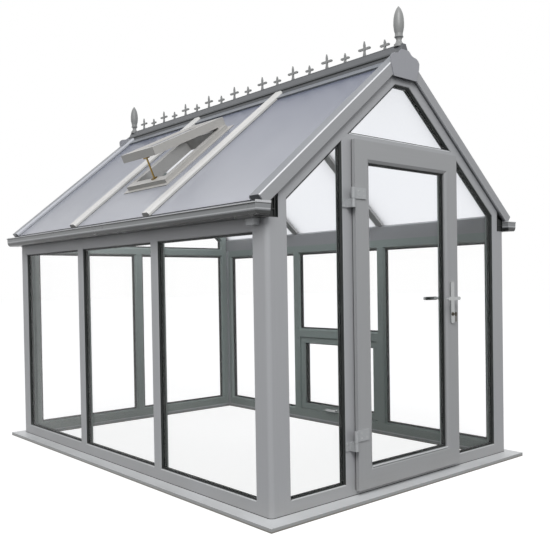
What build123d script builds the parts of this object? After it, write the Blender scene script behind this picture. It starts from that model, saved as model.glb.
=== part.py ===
from build123d import *
from math import atan, cos, degrees, radians, sin, tan
import os

# A small glass greenhouse: a glazed box on a moulded sill, a pitched roof of
# plastic panes between capped bars, a door in the -Y gable, a roof vent in the
# -X slope and a small window in the +X wall.
# Millimetres, +Z up, the sill's underside on z = 0, the footprint's centre at
# the origin, the door gable facing -Y.

os.makedirs("parts", exist_ok=True)

# ------------------------------------------------------------ driving sizes
width = 2044  # between the outer faces of the long walls
length = 3000  # between the outer faces of the gables
wall_top = 1484  # top of the long walls' frames
roof_pitch = 39.65  # degrees

# Sill
sill_height = 30  # at the wall
sill_nose_height = 22
sill_overhang_sides = 71  # beyond the long walls' outer faces
sill_overhang_ends = 83  # beyond the gables' outer faces

# Wall frames
frame_depth = 60
rail_face = 67
mullion_face = 80
jamb_face = 40
stile_face = 58
post_size = 75
post_radius = 25
lip_bevel = 6  # width and depth of the outer lip's bevel
bead_splay = 12  # how far the inner bead leans back
glass_setback = 14  # from the outer face to the glass
glass_thickness = 24
rafter_face = 73  # gable rafter, square to the slope
apex_flat = 118  # width of the gable light's cut-off point

# Rear gable
rear_transom_bottom = 1430
rear_transom_face = 72

# Door opening and leaf
leaf_width = 899
leaf_centre = 16  # of the leaf towards +X from the house's middle
leaf_bottom = 56
leaf_height = 1864
leaf_overlap = 20  # of the leaf's flange beyond its body
leaf_gap = 8  # between the leaf's body and the frame
leaf_lift = 5  # between the leaf's flange and the frame's face
flange_thickness = 25
leaf_body_depth = 45
leaf_face = 115
leaf_bevel_width = 16
leaf_bevel_depth = 9
leaf_glass_setback = 22
door_post_edge = 503.5  # of the door posts' far edges from the house's middle
door_head_face = 44

# Door furniture
hinge_reach = 41  # of the hinge pin in front of the gable
hinge_offset = 28.5  # of the hinge pin beside the leaf's edge
hinge_pin_radius = 6
hinge_pin_clearance = 0.05
hinge_barrel_radius = 10.5
hinge_flag_height = 58
hinge_knuckle_height = 45
hinge_knuckle_gap = 2
hinge_plate_thickness = 6
hinge_flag_length = 107
upper_hinge = 1605
lower_hinge = 321
handle_backset = 63.5  # from the leaf's edge to the handle's centre line
handle_plate_width = 35
handle_plate_height = 250
handle_plate_bottom = 910
handle_plate_thickness = 9
spindle_height = 1060
spindle_radius = 4
spindle_room = 9  # around the spindle inside the stile
lever_neck_radius = 8
lever_clearance = 0.05
lever_reach = 58
lever_length = 120
lever_height = 20
lever_thickness = 14
lock_height = 965
lock_radius = 8.5
lock_clearance = 0.05
lock_rose_radius = 12
lock_rose_thickness = 2
lock_stand = 5  # of the lock cylinder beyond the handle plates

# Right-wall window
window_transom_bottom = 708
window_transom_face = 74
window_face = 60
window_overlap = 12
window_fit = 4
window_flange = 25
window_body_depth = 50

# Eaves and gutters
eaves_beam_depth = 60
eaves_beam_height = 81.5  # at the outer face
eaves_beam_setback = 5  # of its ends behind the gables
eaves_pocket = 35
eaves_wall = 5
gutter_lift = 3  # above the walls' frames
gutter_height = 63
gutter_mouth = 98
gutter_profile = [(74, 0), (85, 8), (91, 22), (93, 54), (gutter_mouth, 56), (gutter_mouth, 63)]
gutter_wall = 3
gutter_overhang = 35
gutter_cap = 5
gutter_end_back = (10, 1)  # of the ends' leaning backs from the wall, at the foot and the top
stop_plate = 4
stop_plate_drop = 7  # above the gutter's floor
saddle_length = 144
saddle_thickness = 6
spigot_width = 38
spigot_length = 58
spigot_drop = 33
spigot_wall = 4
spigot_collar = 3
spigot_collar_height = 12
spigot_wall_gap = 4  # between the spigot and the wall's face

# Roof
pane_thickness = 25
pane_overhang = 38.3  # of the panes' top edges beyond the long walls' faces
pane_head = 65
cap_width = 73
cap_height = 27
cap_edge = 14
cap_bevel = 9
web_width = 12
undercap_width = 60
undercap_depth = 20
pane_clearance = 3
bar_foot_reach = 3  # of the bars' feet beyond the panes' feet
verge_cap_inset = 67  # of the verge cap's inner edge behind the gable
verge_proud = 20
verge_drop = 34  # of the verge's front below the panes' top
verge_web = 18

# Ridge
ridge_half = 33
ridge_beam_drop = 91
ridge_cap_foot = 5  # above the panes' meeting line
ridge_cap_edge = 12
ridge_cap_shoulder = 38
ridge_cap_top = 6
ridge_cap_crown = 14  # half width at the top
skirt_head = 46
skirt_foot = 100
skirt_thickness = 11

# Ridge ornament
spike_pitch = 158.4
first_spike = 124  # behind the front gable
rear_spike_room = 150  # from the last spike to the rear gable, at least
spike_thickness = 10
tall_spike = (45, 92, 94)  # arm height, tip height, arm span
short_spike = (28, 61, 70)
spike_root = 25
spike_stem = 12
spike_arm = 13
finial_inset = 20
finial_sink = 9
end_plate_thickness = 5
end_plate_drop = 141  # below the ridge cap's foot

# Roof vent, sizes down the slope from the ridge line
kerb_head = 365
kerb_foot = 1000
kerb_width = 480
kerb_member_head = 65
kerb_member_foot = 55
kerb_member_side = 60
kerb_height = 30
kerb_drop = 30
kerb_flange = 30
kerb_flange_thickness = 4
vent_pivot = 338  # the sash's top edge
vent_sash_width = 400
vent_sash_length = 611
vent_sash_depth = 53
vent_sash_face = 60
vent_open = 14.1  # degrees
vent_glazing_thickness = 25
rod_radius = 6
stay_place = 68  # towards the door from the vent's middle
stay_inset = 13  # of the stay's ends from the inner edges of the two foot members
stay_shoe_length = 40
stay_shoe_width = 26
stay_shoe_height = 8

# ------------------------------------------------------------ derived sizes
half_width = width / 2
half_length = length / 2
slope = tan(radians(roof_pitch))
rise = 1 / cos(radians(roof_pitch))  # upright height of a unit square to the slope
pane_under_apex = wall_top + eaves_beam_height + half_width * slope
pane_top_apex = pane_under_apex + pane_thickness * rise
rafter_under_apex = pane_under_apex - rafter_face * rise
rail_top = sill_height + rail_face
top_rail_bottom = wall_top - rail_face
post_inner_x = half_width - post_size
post_inner_y = half_length - post_size
stile_inner = post_inner_x - stile_face
side_clear = post_inner_y - jamb_face
side_bay = (2 * side_clear - 2 * mullion_face) / 3
bar_places = (-(side_bay + mullion_face) / 2, (side_bay + mullion_face) / 2)
bay_half = side_bay / 2

# Planes on the outer faces, local x along the wall and local y up
FRONT = Plane(origin=(0, -half_length, 0), x_dir=(1, 0, 0), z_dir=(0, -1, 0))
REAR = Plane(origin=(0, half_length, 0), x_dir=(-1, 0, 0), z_dir=(0, 1, 0))
LEFT = Plane(origin=(-half_width, 0, 0), x_dir=(0, -1, 0), z_dir=(-1, 0, 0))
RIGHT = Plane(origin=(half_width, 0, 0), x_dir=(0, 1, 0), z_dir=(1, 0, 0))

# Planes on the panes' top faces, local x along the ridge and local y up the slope
slope_run = cos(radians(roof_pitch))
slope_fall = sin(radians(roof_pitch))
pane_foot = (half_width + pane_overhang) / slope_run  # down the slope from the ridge line
ridge_line = (0, 0, pane_top_apex)
LEFT_SLOPE = Plane(origin=ridge_line, x_dir=(0, -1, 0), z_dir=(-slope_fall, 0, slope_run))
RIGHT_SLOPE = Plane(origin=ridge_line, x_dir=(0, 1, 0), z_dir=(slope_fall, 0, slope_run))

BOTTOM_AND_TOP = 0
SIDES = 1


# ------------------------------------------------------------ shared shapes
def rectangle(left, right, bottom, top):
    return [(left, bottom), (right, bottom), (right, top), (left, top)]


def flipped(outline):
    return [(-x, y) for x, y in reversed(outline)]


def mitred(outer, inner, pair):
    """Two opposite members of a rectangular frame, with mitred corners."""
    members = []
    for i in (pair, pair + 2):
        j = (i + 1) % 4
        members.append([outer[i], outer[j], inner[j], inner[i]])
    return members


def plate(plane, outline, thickness, mode=Mode.ADD):
    """A flat piece: an outline on the plane, running back from it."""
    with BuildSketch(plane) as face:
        Polygon(*outline, align=None)
    extrude(face.sketch, amount=thickness, dir=-plane.z_dir, mode=mode)


def splay(plane, outline, run, depth):
    """Widen an opening's mouth by the run at the plane, down to nothing at the depth."""
    with BuildSketch(plane) as mouth:
        Polygon(*outline, align=None)
        offset(amount=run, kind=Kind.INTERSECTION)
    with BuildSketch(plane.offset(-depth)) as throat:
        Polygon(*outline, align=None)
    loft([mouth.sketch.face(), throat.sketch.face()], ruled=True, mode=Mode.SUBTRACT)


def splay_frame(wall, outlines):
    """The bevelled outer lip and the splayed inner bead around each opening."""
    bead_line = glass_setback + glass_thickness
    for outline in outlines:
        splay(wall, outline, lip_bevel, lip_bevel)
        splay(wall.offset(-frame_depth), outline, bead_splay, bead_line - frame_depth)


def keep_between(left, right):
    """Trim with upright cuts, keeping what lies between two places across the house."""
    with BuildSketch(Plane.XY) as strip:
        Polygon(*rectangle(left, right, -length, length), align=None)
    extrude(strip.sketch, amount=2 * pane_top_apex, mode=Mode.INTERSECT)


# ------------------------------------------------------------ sill
sill_x = half_width + sill_overhang_sides
sill_y = half_length + sill_overhang_ends
sill_inner_x = half_width - frame_depth
sill_inner_y = half_length - frame_depth

with BuildPart() as sill_ends:
    with BuildSketch(Plane.YZ.offset(-sill_x)):
        Polygon(
            (-sill_inner_y, 0),
            (-sill_inner_y, sill_height),
            (-half_length, sill_height),
            (-sill_y, sill_nose_height),
            (-sill_y, 0),
            align=None,
        )
    extrude(amount=2 * sill_x)
    with BuildSketch(Plane.XY):
        Polygon(
            (-sill_x, -sill_y),
            (sill_x, -sill_y),
            (sill_inner_x, -sill_inner_y),
            (-sill_inner_x, -sill_inner_y),
            align=None,
        )
    extrude(amount=sill_height, mode=Mode.INTERSECT)
    mirror(about=Plane.XZ)
sill_ends.part.label = "sill_ends"
export_step(sill_ends.part, "parts/sill_ends.step")

with BuildPart() as sill_sides:
    with BuildSketch(Plane.XZ.offset(-sill_y)):
        Polygon(
            (sill_inner_x, 0),
            (sill_x, 0),
            (sill_x, sill_nose_height),
            (half_width, sill_height),
            (sill_inner_x, sill_height),
            align=None,
        )
    extrude(amount=2 * sill_y)
    with BuildSketch(Plane.XY):
        Polygon(
            (sill_x, -sill_y),
            (sill_x, sill_y),
            (sill_inner_x, sill_inner_y),
            (sill_inner_x, -sill_inner_y),
            align=None,
        )
    extrude(amount=sill_height, mode=Mode.INTERSECT)
    mirror(about=Plane.YZ)
sill_sides.part.label = "sill_sides"
export_step(sill_sides.part, "parts/sill_sides.step")

# ------------------------------------------------------------ corner posts
with BuildPart() as corner_posts:
    with BuildSketch(Plane.XY.offset(sill_height)) as post_section:
        Polygon(*rectangle(post_inner_x, half_width, post_inner_y, half_length), align=None)
        fillet(post_section.vertices().group_by(Axis.X)[-1].sort_by(Axis.Y)[-1], radius=post_radius)
    extrude(amount=wall_top - sill_height)
    mirror(about=Plane.YZ)
    mirror(about=Plane.XZ)
corner_posts.part.label = "corner_posts"
export_step(corner_posts.part, "parts/corner_posts.step")

# ------------------------------------------------------------ long walls
middle_bay = rectangle(-bay_half, bay_half, rail_top, top_rail_bottom)
far_bay = rectangle(bay_half + mullion_face, side_clear, rail_top, top_rail_bottom)
side_openings = [flipped(far_bay), middle_bay, far_bay]
side_jamb = rectangle(side_clear, post_inner_y, rail_top, top_rail_bottom)
side_mullion = rectangle(bay_half, bay_half + mullion_face, rail_top, top_rail_bottom)
side_uprights = [flipped(side_jamb), flipped(side_mullion), side_mullion, side_jamb]
side_rails = [
    rectangle(-post_inner_y, post_inner_y, sill_height, rail_top),
    rectangle(-post_inner_y, post_inner_y, top_rail_bottom, wall_top),
]

with BuildPart() as left_wall_rails:
    for outline in side_rails:
        plate(LEFT, outline, frame_depth)
    splay_frame(LEFT, side_openings)
left_wall_rails.part.label = "left_wall_rails"
export_step(left_wall_rails.part, "parts/left_wall_rails.step")

with BuildPart() as left_wall_uprights:
    for outline in side_uprights:
        plate(LEFT, outline, frame_depth)
    splay_frame(LEFT, side_openings)
left_wall_uprights.part.label = "left_wall_uprights"
export_step(left_wall_uprights.part, "parts/left_wall_uprights.step")

with BuildPart() as left_wall_glass:
    for outline in side_openings:
        plate(LEFT.offset(-glass_setback), outline, glass_thickness)
left_wall_glass.part.label = "left_wall_glass"
export_step(left_wall_glass.part, "parts/left_wall_glass.step")

# The right wall's middle bay has a transom, a fixed light above it and a window below.
window_transom_top = window_transom_bottom + window_transom_face
window_opening = rectangle(-bay_half, bay_half, rail_top, window_transom_bottom)
upper_light = rectangle(-bay_half, bay_half, window_transom_top, top_rail_bottom)
right_lights = [flipped(far_bay), upper_light, far_bay]

with BuildPart() as right_wall_rails:
    for outline in side_rails:
        plate(RIGHT, outline, frame_depth)
    plate(RIGHT, rectangle(-bay_half, bay_half, window_transom_bottom, window_transom_top), frame_depth)
    splay_frame(RIGHT, right_lights)
right_wall_rails.part.label = "right_wall_rails"
export_step(right_wall_rails.part, "parts/right_wall_rails.step")

with BuildPart() as right_wall_uprights:
    for outline in side_uprights:
        plate(RIGHT, outline, frame_depth)
    splay_frame(RIGHT, right_lights)
right_wall_uprights.part.label = "right_wall_uprights"
export_step(right_wall_uprights.part, "parts/right_wall_uprights.step")

with BuildPart() as right_wall_glass:
    for outline in right_lights:
        plate(RIGHT.offset(-glass_setback), outline, glass_thickness)
right_wall_glass.part.label = "right_wall_glass"
export_step(right_wall_glass.part, "parts/right_wall_glass.step")

# ------------------------------------------------------------ window in the right wall
WINDOW = RIGHT.offset(window_flange)
window_half = bay_half - window_fit
window_bottom = rail_top + window_fit
window_top = window_transom_bottom - window_fit
window_body = rectangle(-window_half, window_half, window_bottom, window_top)
flange_reach = window_overlap + window_fit
window_rim = rectangle(
    -window_half - flange_reach,
    window_half + flange_reach,
    window_bottom - flange_reach,
    window_top + flange_reach,
)
window_inset = window_face - flange_reach
window_light = rectangle(
    -window_half + window_inset,
    window_half - window_inset,
    window_bottom + window_inset,
    window_top - window_inset,
)

with BuildPart() as window_sash:
    plate(WINDOW, window_rim, window_flange)
    plate(RIGHT, window_body, window_body_depth)
    plate(WINDOW, window_light, window_flange + window_body_depth, mode=Mode.SUBTRACT)
    splay(WINDOW, window_light, lip_bevel * 2, lip_bevel * 2)
window_sash.part.label = "window_sash"
export_step(window_sash.part, "parts/window_sash.step")

with BuildPart() as window_glass:
    plate(WINDOW.offset(-leaf_glass_setback), window_light, glass_thickness)
window_glass.part.label = "window_glass"
export_step(window_glass.part, "parts/window_glass.step")

window_handle_height = window_bottom + window_inset / 2
window_handle_plate = 60
window_handle_neck = 30
window_handle_arm = 115

with BuildPart() as window_handle:
    with BuildSketch(RIGHT.offset(-window_body_depth)) as rose:
        with Locations((0, window_handle_height)):
            RectangleRounded(window_handle_plate, 28, 6)
    extrude(rose.sketch, amount=8, dir=-RIGHT.z_dir)
    with BuildSketch(RIGHT.offset(-window_body_depth - 8)) as neck:
        with Locations((0, window_handle_height)):
            Circle(9)
    extrude(neck.sketch, amount=window_handle_neck, dir=-RIGHT.z_dir)
    with BuildSketch(RIGHT.offset(-window_body_depth - window_handle_neck)) as arm:
        with Locations((window_handle_arm / 2 - 10, window_handle_height)):
            RectangleRounded(window_handle_arm, 18, 8)
    extrude(arm.sketch, amount=12, dir=-RIGHT.z_dir)
window_handle.part.label = "window_handle"
export_step(window_handle.part, "parts/window_handle.step")


# ------------------------------------------------------------ gables
def roof_under(x):
    return pane_under_apex - slope * abs(x)


def rafter_under(x):
    return rafter_under_apex - slope * abs(x)


apex_half = apex_flat / 2
apex_gap = 0.5  # each rafter's top stops short of the middle
gable_stile = [
    (stile_inner, sill_height),
    (post_inner_x, sill_height),
    (post_inner_x, roof_under(post_inner_x)),
    (stile_inner, roof_under(stile_inner)),
]
gable_rafter = [
    (apex_gap, rafter_under(apex_half)),
    (apex_half, rafter_under(apex_half)),
    (stile_inner, rafter_under(stile_inner)),
    (stile_inner, roof_under(stile_inner)),
    (apex_gap, roof_under(apex_gap)),
]


def gable_light(bottom, half_bottom):
    """The light under the rafters, cut off square at the apex."""
    return [
        (-half_bottom, bottom),
        (half_bottom, bottom),
        (min(half_bottom, stile_inner), rafter_under(half_bottom)),
        (apex_half, rafter_under(apex_half)),
        (-apex_half, rafter_under(apex_half)),
        (-min(half_bottom, stile_inner), rafter_under(half_bottom)),
    ]


# Rear gable: a mullion below a transom, one light above
rear_transom_top = rear_transom_bottom + rear_transom_face
rear_lower_light = rectangle(mullion_face / 2, stile_inner, rail_top, rear_transom_bottom)
rear_upper_light = gable_light(rear_transom_top, stile_inner)
rear_openings = [flipped(rear_lower_light), rear_lower_light, rear_upper_light]

with BuildPart() as rear_gable_rails:
    plate(REAR, rectangle(-stile_inner, stile_inner, sill_height, rail_top), frame_depth)
    plate(REAR, rectangle(-stile_inner, stile_inner, rear_transom_bottom, rear_transom_top), frame_depth)
    splay_frame(REAR, rear_openings)
rear_gable_rails.part.label = "rear_gable_rails"
export_step(rear_gable_rails.part, "parts/rear_gable_rails.step")

with BuildPart() as rear_gable_uprights:
    plate(REAR, gable_stile, frame_depth)
    plate(REAR, flipped(gable_stile), frame_depth)
    plate(
        REAR,
        rectangle(-mullion_face / 2, mullion_face / 2, rail_top, rear_transom_bottom),
        frame_depth,
    )
    splay_frame(REAR, rear_openings)
rear_gable_uprights.part.label = "rear_gable_uprights"
export_step(rear_gable_uprights.part, "parts/rear_gable_uprights.step")

with BuildPart() as rear_gable_rafters:
    plate(REAR, gable_rafter, frame_depth)
    plate(REAR, flipped(gable_rafter), frame_depth)
    splay_frame(REAR, [rear_upper_light])
rear_gable_rafters.part.label = "rear_gable_rafters"
export_step(rear_gable_rafters.part, "parts/rear_gable_rafters.step")

with BuildPart() as rear_gable_glass:
    for outline in rear_openings:
        plate(REAR.offset(-glass_setback), outline, glass_thickness)
rear_gable_glass.part.label = "rear_gable_glass"
export_step(rear_gable_glass.part, "parts/rear_gable_glass.step")

# Front gable: door posts and a head between the rafters, sidelights, one light above
leaf_half = leaf_width / 2
leaf_left = leaf_centre - leaf_half
leaf_right = leaf_centre + leaf_half
leaf_top = leaf_bottom + leaf_height
body_left = leaf_left + leaf_overlap
body_right = leaf_right - leaf_overlap
body_bottom = leaf_bottom + leaf_overlap
body_top = leaf_top - leaf_overlap
doorway_left = body_left - leaf_gap
doorway_right = body_right + leaf_gap
threshold_top = body_bottom - leaf_gap
head_bottom = body_top + leaf_gap
head_top = head_bottom + door_head_face


def rafter_reach(height):
    """Half the width between the rafters' undersides at a height."""
    return (rafter_under_apex - height) / slope


def door_post(doorway):
    """A post beside the doorway, its far top corner cut where the rafter crosses it."""
    if rafter_reach(head_bottom) > door_post_edge:
        return rectangle(doorway, door_post_edge, sill_height, head_bottom)
    return [
        (doorway, sill_height),
        (door_post_edge, sill_height),
        (door_post_edge, rafter_under(door_post_edge)),
        (rafter_reach(head_bottom), head_bottom),
        (doorway, head_bottom),
    ]


head_outline = [
    (-rafter_reach(head_bottom), head_bottom),
    (rafter_reach(head_bottom), head_bottom),
    (rafter_reach(head_top), head_top),
    (-rafter_reach(head_top), head_top),
]
sidelight = [
    (door_post_edge, rail_top),
    (stile_inner, rail_top),
    (stile_inner, rafter_under(stile_inner)),
]
if rafter_reach(head_bottom) > door_post_edge:
    sidelight += [(rafter_reach(head_bottom), head_bottom), (door_post_edge, head_bottom)]
else:
    sidelight += [(door_post_edge, rafter_under(door_post_edge))]
front_upper_light = [
    (-rafter_reach(head_top), head_top),
    (rafter_reach(head_top), head_top),
    (apex_half, rafter_under(apex_half)),
    (-apex_half, rafter_under(apex_half)),
]
front_openings = [flipped(sidelight), sidelight, front_upper_light]

with BuildPart() as front_gable_rails:
    front_rail = rectangle(door_post_edge, stile_inner, sill_height, rail_top)
    plate(FRONT, front_rail, frame_depth)
    plate(FRONT, flipped(front_rail), frame_depth)
    plate(FRONT, rectangle(doorway_left, doorway_right, sill_height, threshold_top), frame_depth)
    plate(FRONT, head_outline, frame_depth)
    splay_frame(FRONT, front_openings)
front_gable_rails.part.label = "front_gable_rails"
export_step(front_gable_rails.part, "parts/front_gable_rails.step")

with BuildPart() as front_gable_uprights:
    for outline in (gable_stile, door_post(doorway_right)):
        plate(FRONT, outline, frame_depth)
    for outline in (gable_stile, door_post(-doorway_left)):
        plate(FRONT, flipped(outline), frame_depth)
    splay_frame(FRONT, [sidelight, flipped(sidelight)])
front_gable_uprights.part.label = "front_gable_uprights"
export_step(front_gable_uprights.part, "parts/front_gable_uprights.step")

with BuildPart() as front_gable_rafters:
    plate(FRONT, gable_rafter, frame_depth)
    plate(FRONT, flipped(gable_rafter), frame_depth)
    splay_frame(FRONT, front_openings)
front_gable_rafters.part.label = "front_gable_rafters"
export_step(front_gable_rafters.part, "parts/front_gable_rafters.step")

with BuildPart() as front_gable_glass:
    for outline in front_openings:
        plate(FRONT.offset(-glass_setback), outline, glass_thickness)
front_gable_glass.part.label = "front_gable_glass"
export_step(front_gable_glass.part, "parts/front_gable_glass.step")

# ------------------------------------------------------------ eaves beams and gutters
beam_inner = half_width - eaves_beam_depth
beam_chamfer = 25
beam_outline = [
    (beam_inner, wall_top),
    (half_width, wall_top),
    (half_width, roof_under(half_width)),
    (beam_inner + beam_chamfer, roof_under(beam_inner + beam_chamfer)),
    (beam_inner, roof_under(beam_inner + beam_chamfer) - beam_chamfer / 2),
]
beam_end = half_length - eaves_beam_setback

with BuildPart() as eaves_beams:
    with BuildSketch(Plane.XZ.offset(-beam_end)):
        Polygon(*beam_outline, align=None)
    extrude(amount=2 * beam_end)
    # Hollow ends, with a rib across at mid height
    for end in (-beam_end, beam_end - eaves_pocket):
        with BuildSketch(Plane.XZ.offset(end)):
            Polygon(*beam_outline, align=None)
            offset(amount=-eaves_wall, kind=Kind.INTERSECTION)
            with Locations((half_width - eaves_beam_depth / 2, wall_top + eaves_beam_height / 2)):
                Rectangle(eaves_beam_depth, eaves_wall, mode=Mode.SUBTRACT)
        extrude(amount=eaves_pocket, mode=Mode.SUBTRACT)
    mirror(about=Plane.YZ)
eaves_beams.part.label = "eaves_beams"
export_step(eaves_beams.part, "parts/eaves_beams.step")

gutter_bottom = wall_top + gutter_lift
gutter_top = gutter_bottom + gutter_height
gutter_end = half_length + gutter_overhang
spigot_x = half_width + spigot_wall_gap + spigot_width / 2
spigot_y = beam_end - saddle_length / 2


def gutter_outline(back, inset=0):
    """The gutter's section, or the space inside it at a wall's thickness."""
    points = [(back[0] + inset, inset)]
    for out, up in gutter_profile:
        points.append((out - inset, up + inset))
    points.append((back[1] + inset, gutter_height + inset))
    return [(half_width + x, gutter_bottom + z) for x, z in points]


def gutter_run(outline, end, mode=Mode.ADD):
    with BuildSketch(Plane.XZ.offset(-end)) as section:
        Polygon(*outline, align=None)
    extrude(section.sketch, amount=2 * end, dir=(0, -1, 0), mode=mode)


def gutter():
    """A trough with closed, narrower ends, and a hole over the outlet at the +Y end."""
    straight_back = (0, 0)
    gutter_run(gutter_outline(straight_back), beam_end)
    gutter_run(gutter_outline(gutter_end_back), gutter_end)
    gutter_run(gutter_outline(straight_back, gutter_wall), beam_end - gutter_cap, Mode.SUBTRACT)
    gutter_run(gutter_outline(gutter_end_back, gutter_wall), gutter_end - gutter_cap, Mode.SUBTRACT)
    with BuildSketch(Plane.XY.offset(gutter_bottom)) as hole:
        with Locations((spigot_x, spigot_y)):
            Rectangle(spigot_width - 2 * spigot_wall, spigot_length - 2 * spigot_wall)
    extrude(hole.sketch, amount=gutter_wall, mode=Mode.SUBTRACT)


with BuildPart() as right_gutter:
    gutter()
right_gutter.part.label = "right_gutter"
export_step(right_gutter.part, "parts/right_gutter.step")

# The left gutter is the right one turned half round, so its outlet is at the front.
with BuildPart() as left_gutter:
    gutter()
    mirror(about=Plane.YZ, mode=Mode.REPLACE)
    mirror(about=Plane.XZ, mode=Mode.REPLACE)
left_gutter.part.label = "left_gutter"
export_step(left_gutter.part, "parts/left_gutter.step")

# A saddle under the gutter's floor with a square spigot, and a flat stop on its end
with BuildPart() as gutter_outlets:
    saddle_bottom = gutter_bottom - saddle_thickness
    saddle_width = gutter_profile[0][0]
    with BuildSketch(Plane.XY.offset(saddle_bottom)):
        Polygon(
            *rectangle(half_width, half_width + saddle_width, beam_end - saddle_length, beam_end),
            align=None,
        )
    extrude(amount=saddle_thickness)
    spigot_bottom = saddle_bottom - spigot_drop
    for growth, drop in ((0, spigot_drop), (spigot_collar, spigot_collar_height)):
        with BuildSketch(Plane.XY.offset(saddle_bottom - drop)) as spigot:
            with Locations((spigot_x, spigot_y)):
                Rectangle(spigot_width + 2 * growth, spigot_length + 2 * growth)
        extrude(spigot.sketch, amount=drop)
    with BuildSketch(Plane.XY.offset(spigot_bottom)) as bore:
        with Locations((spigot_x, spigot_y)):
            Rectangle(spigot_width - 2 * spigot_wall, spigot_length - 2 * spigot_wall)
    extrude(bore.sketch, amount=spigot_drop + saddle_thickness, mode=Mode.SUBTRACT)
    with BuildSketch(Plane.XZ.offset(-gutter_end)) as stop:
        Polygon(
            (half_width + gutter_end_back[0], gutter_bottom + stop_plate_drop),
            (half_width + gutter_mouth, gutter_bottom + stop_plate_drop),
            (half_width + gutter_mouth, gutter_top + stop_plate_drop),
            (half_width + gutter_end_back[1], gutter_top + stop_plate_drop),
            align=None,
        )
    extrude(stop.sketch, amount=stop_plate, dir=(0, 1, 0))
    outlet = gutter_outlets.part
    add(outlet.rotate(Axis.Z, 180))
gutter_outlets.part.label = "gutter_outlets"
export_step(gutter_outlets.part, "parts/gutter_outlets.step")

# ------------------------------------------------------------ roof bars
bar_foot = pane_foot + bar_foot_reach  # down the slope from the ridge line
web_section = [
    (-web_width / 2, 0),
    (-web_width / 2, -pane_thickness),
    (-undercap_width / 2, -pane_thickness),
    (-undercap_width / 2, -pane_thickness - undercap_depth),
    (undercap_width / 2, -pane_thickness - undercap_depth),
    (undercap_width / 2, -pane_thickness),
    (web_width / 2, -pane_thickness),
    (web_width / 2, 0),
]
cap_section = [
    (-cap_width / 2, 0),
    (cap_width / 2, 0),
    (cap_width / 2, cap_edge),
    (cap_width / 2 - cap_bevel, cap_height),
    (-cap_width / 2 + cap_bevel, cap_height),
    (-cap_width / 2, cap_edge),
]
verge_y = half_length + verge_proud
verge_section = [
    (half_length - verge_cap_inset, 0),
    (half_length - verge_web, 0),
    (half_length - verge_web, -pane_thickness),
    (half_length, -pane_thickness),
    (half_length, -verge_drop),
    (verge_y, -verge_drop),
    (verge_y, cap_height - cap_bevel / 2),
    (verge_y - cap_bevel, cap_height),
    (half_length - verge_cap_inset + cap_bevel, cap_height),
    (half_length - verge_cap_inset, cap_edge),
]


def bar(slope_plane, section, place=0):
    """A bar down the whole slope, cut off square at the foot, at a place along the ridge."""
    down = -slope_plane.y_dir
    start = slope_plane.from_local_coords((place, 0, 0))
    square = Plane(origin=start, x_dir=slope_plane.z_dir.cross(down), z_dir=down)
    with BuildSketch(square) as profile:
        Polygon(*section, align=None)
    extrude(profile.sketch, amount=bar_foot, dir=down)


def glazing_bars(slope_plane, beam_side, ridge_side):
    """The webs and undercaps stop at the eaves beam, and the caps run on to the foot."""
    for place in bar_places:
        bar(slope_plane, web_section, place)
    keep_between(min(beam_side, ridge_side), max(beam_side, ridge_side))
    for place in bar_places:
        bar(slope_plane, cap_section, place)
    clear_ridge_beam()


def clear_ridge_beam():
    plate(
        Plane.XZ.offset(verge_y),
        rectangle(-ridge_half, ridge_half, 0, 2 * pane_top_apex),
        2 * verge_y,
        mode=Mode.SUBTRACT,
    )


def clear_eaves_beam():
    """Cut away what would run into the eaves beams."""
    for outline in (beam_outline, flipped(beam_outline)):
        plate(Plane.XZ.offset(half_length), outline, length, mode=Mode.SUBTRACT)


with BuildPart() as left_glazing_bars:
    glazing_bars(LEFT_SLOPE, -beam_inner, -ridge_half)
left_glazing_bars.part.label = "left_glazing_bars"
export_step(left_glazing_bars.part, "parts/left_glazing_bars.step")

with BuildPart() as right_glazing_bars:
    glazing_bars(RIGHT_SLOPE, beam_inner, ridge_half)
right_glazing_bars.part.label = "right_glazing_bars"
export_step(right_glazing_bars.part, "parts/right_glazing_bars.step")

# The right slope's section runs towards +Y, so its bar is the rear one.
with BuildPart() as rear_verge_bars:
    bar(RIGHT_SLOPE, verge_section)
    keep_between(ridge_half, half_width + gutter_mouth)
    clear_eaves_beam()
    mirror(about=Plane.YZ)
rear_verge_bars.part.label = "rear_verge_bars"
export_step(rear_verge_bars.part, "parts/rear_verge_bars.step")

with BuildPart() as front_verge_bars:
    bar(LEFT_SLOPE, verge_section)
    keep_between(-half_width - gutter_mouth, -ridge_half)
    clear_eaves_beam()
    mirror(about=Plane.YZ)
front_verge_bars.part.label = "front_verge_bars"
export_step(front_verge_bars.part, "parts/front_verge_bars.step")

# ------------------------------------------------------------ roof panes
pane_web = web_width / 2 + pane_clearance
pane_edges = (
    -(half_length - verge_web - pane_clearance),
    bar_places[0] - pane_web,
    bar_places[0] + pane_web,
    bar_places[1] - pane_web,
    bar_places[1] + pane_web,
    half_length - verge_web - pane_clearance,
)
roof_panes = []
for i in (0, 2, 4):
    roof_panes.append(rectangle(pane_edges[i], pane_edges[i + 1], -pane_foot, -pane_head))
kerb_half = kerb_width / 2
kerb_outline = rectangle(-kerb_half, kerb_half, -kerb_foot, -kerb_head)

with BuildPart() as left_roof_panes:
    for outline in roof_panes:
        plate(LEFT_SLOPE, outline, pane_thickness)
    plate(LEFT_SLOPE, kerb_outline, pane_thickness, mode=Mode.SUBTRACT)
left_roof_panes.part.label = "left_roof_panes"
export_step(left_roof_panes.part, "parts/left_roof_panes.step")

with BuildPart() as right_roof_panes:
    for outline in roof_panes:
        plate(RIGHT_SLOPE, outline, pane_thickness)
right_roof_panes.part.label = "right_roof_panes"
export_step(right_roof_panes.part, "parts/right_roof_panes.step")

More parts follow.
